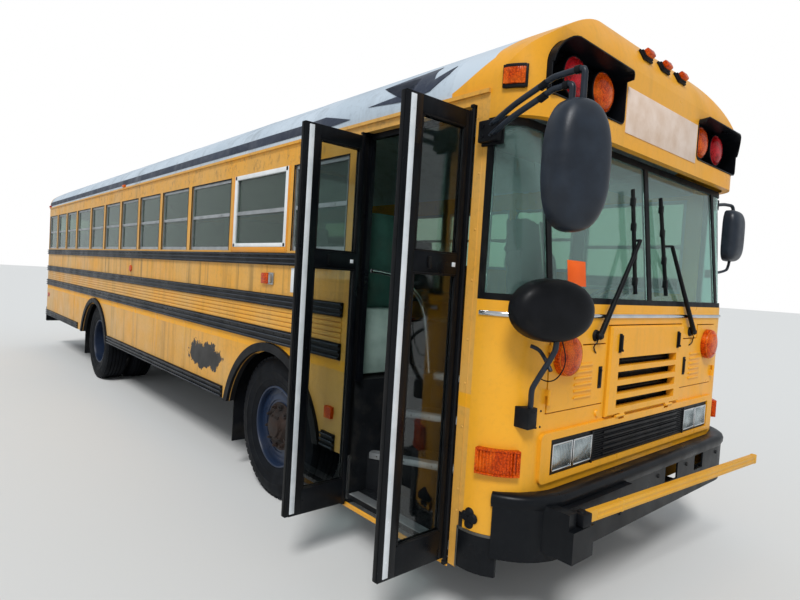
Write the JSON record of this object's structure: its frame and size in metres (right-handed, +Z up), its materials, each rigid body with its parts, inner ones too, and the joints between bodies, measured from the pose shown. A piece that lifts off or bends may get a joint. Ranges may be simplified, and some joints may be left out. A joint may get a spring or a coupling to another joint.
{
  "type": "flat-fronted school bus",
  "caption": "Full-size flat-fronted school bus with folding entrance, steering and rolling wheels, emergency door, roof hatches, stop arm and crossing arm.",
  "frame": {"origin": "on the ground under the middle of the whole bus", "axes": "+X forward along the bus, +Y to its left, +Z up"},
  "size_m": [10.891, 3.228, 3.0639],
  "materials": {
    "yellow_paint": "weathered gloss",
    "white_paint": "weathered gloss",
    "black_paint": "satin",
    "chassis_paint": "dusty matt",
    "wheel_paint": "satin",
    "engine_iron": "rough",
    "axle_iron": "rough",
    "spring_steel": "rough",
    "exhaust_steel": "dull",
    "tank_steel": "satin",
    "floor_rubber": "ribbed",
    "step_rubber": "ribbed",
    "window_aluminium": "satin",
    "tinted_glass": "clear",
    "screen_glass": "clear",
    "door_glass": "clear",
    "seal_rubber": "matt",
    "trim_rubber": "matt",
    "tyre_rubber": "matt",
    "grille_plastic": "matt",
    "lamp_glass": "clear",
    "amber_lens": "gloss",
    "red_lens": "gloss",
    "mirror_plastic": "textured",
    "seat_vinyl": "grained",
    "driver_vinyl": "grained",
    "cover_plastic": "textured",
    "arm_paint": "gloss",
    "stop_paint": "gloss"
  },
  "bodies": {
    "bus_body": {"chassis_frame": "chassis_paint", "engine": "engine_iron", "driveshaft": "axle_iron", "front_axle": "axle_iron", "rear_axle": "axle_iron", "springs": "spring_steel", "fuel_tank": "tank_steel", "exhaust": "exhaust_steel", "mud_flaps": "trim_rubber", "floor": "floor_rubber", "right_side_wall": "yellow_paint", "left_side_wall": "yellow_paint", "window_frames": "window_aluminium", "window_glass": "tinted_glass", "roof": "white_paint", "rear_wall": "yellow_paint", "front_cap": "yellow_paint", "front_cowl": "yellow_paint", "windshield_frame": "seal_rubber", "windshield": "screen_glass", "grille": "grille_plastic", "headlamps": "lamp_glass", "front_bumper": "black_paint", "rear_bumper": "black_paint", "rub_rails": "black_paint", "wheel_arch_trims": "trim_rubber", "lamp_hoods": "black_paint", "amber_lamps": "amber_lens", "red_lamps": "red_lens", "mirrors": "mirror_plastic", "wipers": "black_paint", "entrance_steps": "step_rubber", "door_frame": "black_paint", "driver_seat": "driver_vinyl", "passenger_seats": "seat_vinyl", "dashboard": "cover_plastic", "steering_wheel": "cover_plastic"},
    "left_knuckle": {"left_knuckle": "axle_iron"},
    "right_knuckle": {"right_knuckle": "axle_iron"},
    "front_left_wheel": {"front_left_tyre": "tyre_rubber", "front_left_rim": "wheel_paint"},
    "front_right_wheel": {"front_right_tyre": "tyre_rubber", "front_right_rim": "wheel_paint"},
    "rear_left_wheels": {"rear_left_tyres": "tyre_rubber", "rear_left_rims": "wheel_paint"},
    "rear_right_wheels": {"rear_right_tyres": "tyre_rubber", "rear_right_rims": "wheel_paint"},
    "front_leaf": {"door_leaf_front": "black_paint", "door_leaf_front_glass": "door_glass"},
    "rear_leaf": {"door_leaf_rear": "black_paint", "door_leaf_rear_glass": "door_glass"},
    "emergency_door": {"rear_door": "yellow_paint", "rear_door_glass": "tinted_glass"},
    "hood": {"hood_panel": "yellow_paint"},
    "right_access": {"right_access_door": "yellow_paint"},
    "left_access": {"left_access_door": "yellow_paint"},
    "front_hatch": {"roof_hatch_front": "white_paint"},
    "rear_hatch": {"roof_hatch_rear": "white_paint"},
    "crossing_arm": {"crossing_arm": "arm_paint"},
    "stop_arm": {"stop_arm": "stop_paint"}
  },
  "joints": [
    {"name": "left_steering", "type": "hinge", "parent": "bus_body", "child": "left_knuckle", "pos_m": [2.983, 0.84, 0.5], "axis": [0, 0, 1], "range_deg": [-35, 35]},
    {"name": "right_steering", "type": "hinge", "parent": "bus_body", "child": "right_knuckle", "pos_m": [2.983, -0.84, 0.5], "axis": [0, 0, 1], "range_deg": [-35, 35]},
    {"name": "front_left_spin", "type": "hinge", "parent": "left_knuckle", "child": "front_left_wheel", "pos_m": [2.983, 1.032, 0.5], "axis": [0, 1, 0], "continuous": true},
    {"name": "front_right_spin", "type": "hinge", "parent": "right_knuckle", "child": "front_right_wheel", "pos_m": [2.983, -1.032, 0.5], "axis": [0, 1, 0], "continuous": true},
    {"name": "rear_left_spin", "type": "hinge", "parent": "bus_body", "child": "rear_left_wheels", "pos_m": [-1.887, 0.867, 0.5], "axis": [0, 1, 0], "continuous": true},
    {"name": "rear_right_spin", "type": "hinge", "parent": "bus_body", "child": "rear_right_wheels", "pos_m": [-1.887, -0.867, 0.5], "axis": [0, 1, 0], "continuous": true},
    {"name": "front_leaf_swing", "type": "hinge", "parent": "bus_body", "child": "front_leaf", "pos_m": [4.753, -1.224, 1.35], "axis": [0, 0, 1], "range_deg": [-90, 0]},
    {"name": "rear_leaf_swing", "type": "hinge", "parent": "bus_body", "child": "rear_leaf", "pos_m": [3.935, -1.224, 1.35], "axis": [0, 0, 1], "range_deg": [0, 90]},
    {"name": "emergency_door_swing", "type": "hinge", "parent": "bus_body", "child": "emergency_door", "pos_m": [-5.33, -0.44, 1.67], "axis": [0, 0, 1], "range_deg": [0, 110]},
    {"name": "hood_tilt", "type": "hinge", "parent": "bus_body", "child": "hood", "pos_m": [5.079, 0, 0.956], "axis": [0, 1, 0], "range_deg": [0, 90]},
    {"name": "right_access_swing", "type": "hinge", "parent": "bus_body", "child": "right_access", "pos_m": [5.079, -0.962, 1.2], "axis": [0, 0, -1], "range_deg": [0, 90]},
    {"name": "left_access_swing", "type": "hinge", "parent": "bus_body", "child": "left_access", "pos_m": [5.079, 0.962, 1.2], "axis": [0, 0, 1], "range_deg": [0, 90]},
    {"name": "front_hatch_tilt", "type": "hinge", "parent": "bus_body", "child": "front_hatch", "pos_m": [2.093, 0, 3.05], "axis": [0, 1, 0], "range_deg": [0, 60]},
    {"name": "rear_hatch_tilt", "type": "hinge", "parent": "bus_body", "child": "rear_hatch", "pos_m": [-2.507, 0, 3.05], "axis": [0, 1, 0], "range_deg": [0, 60]},
    {"name": "crossing_arm_swing", "type": "hinge", "parent": "bus_body", "child": "crossing_arm", "pos_m": [5.263, -0.93, 0.62], "axis": [0, 0, -1], "range_deg": [-4, 86]},
    {"name": "stop_arm_swing", "type": "hinge", "parent": "bus_body", "child": "stop_arm", "pos_m": [3.673, 1.262, 1.53], "axis": [0, 0, -1], "range_deg": [0, 90]}
  ],
  "couplings": [
    {"joint": "right_steering", "follows": "left_steering", "ratio": 1},
    {"joint": "rear_leaf_swing", "follows": "front_leaf_swing", "ratio": -1}
  ]
}
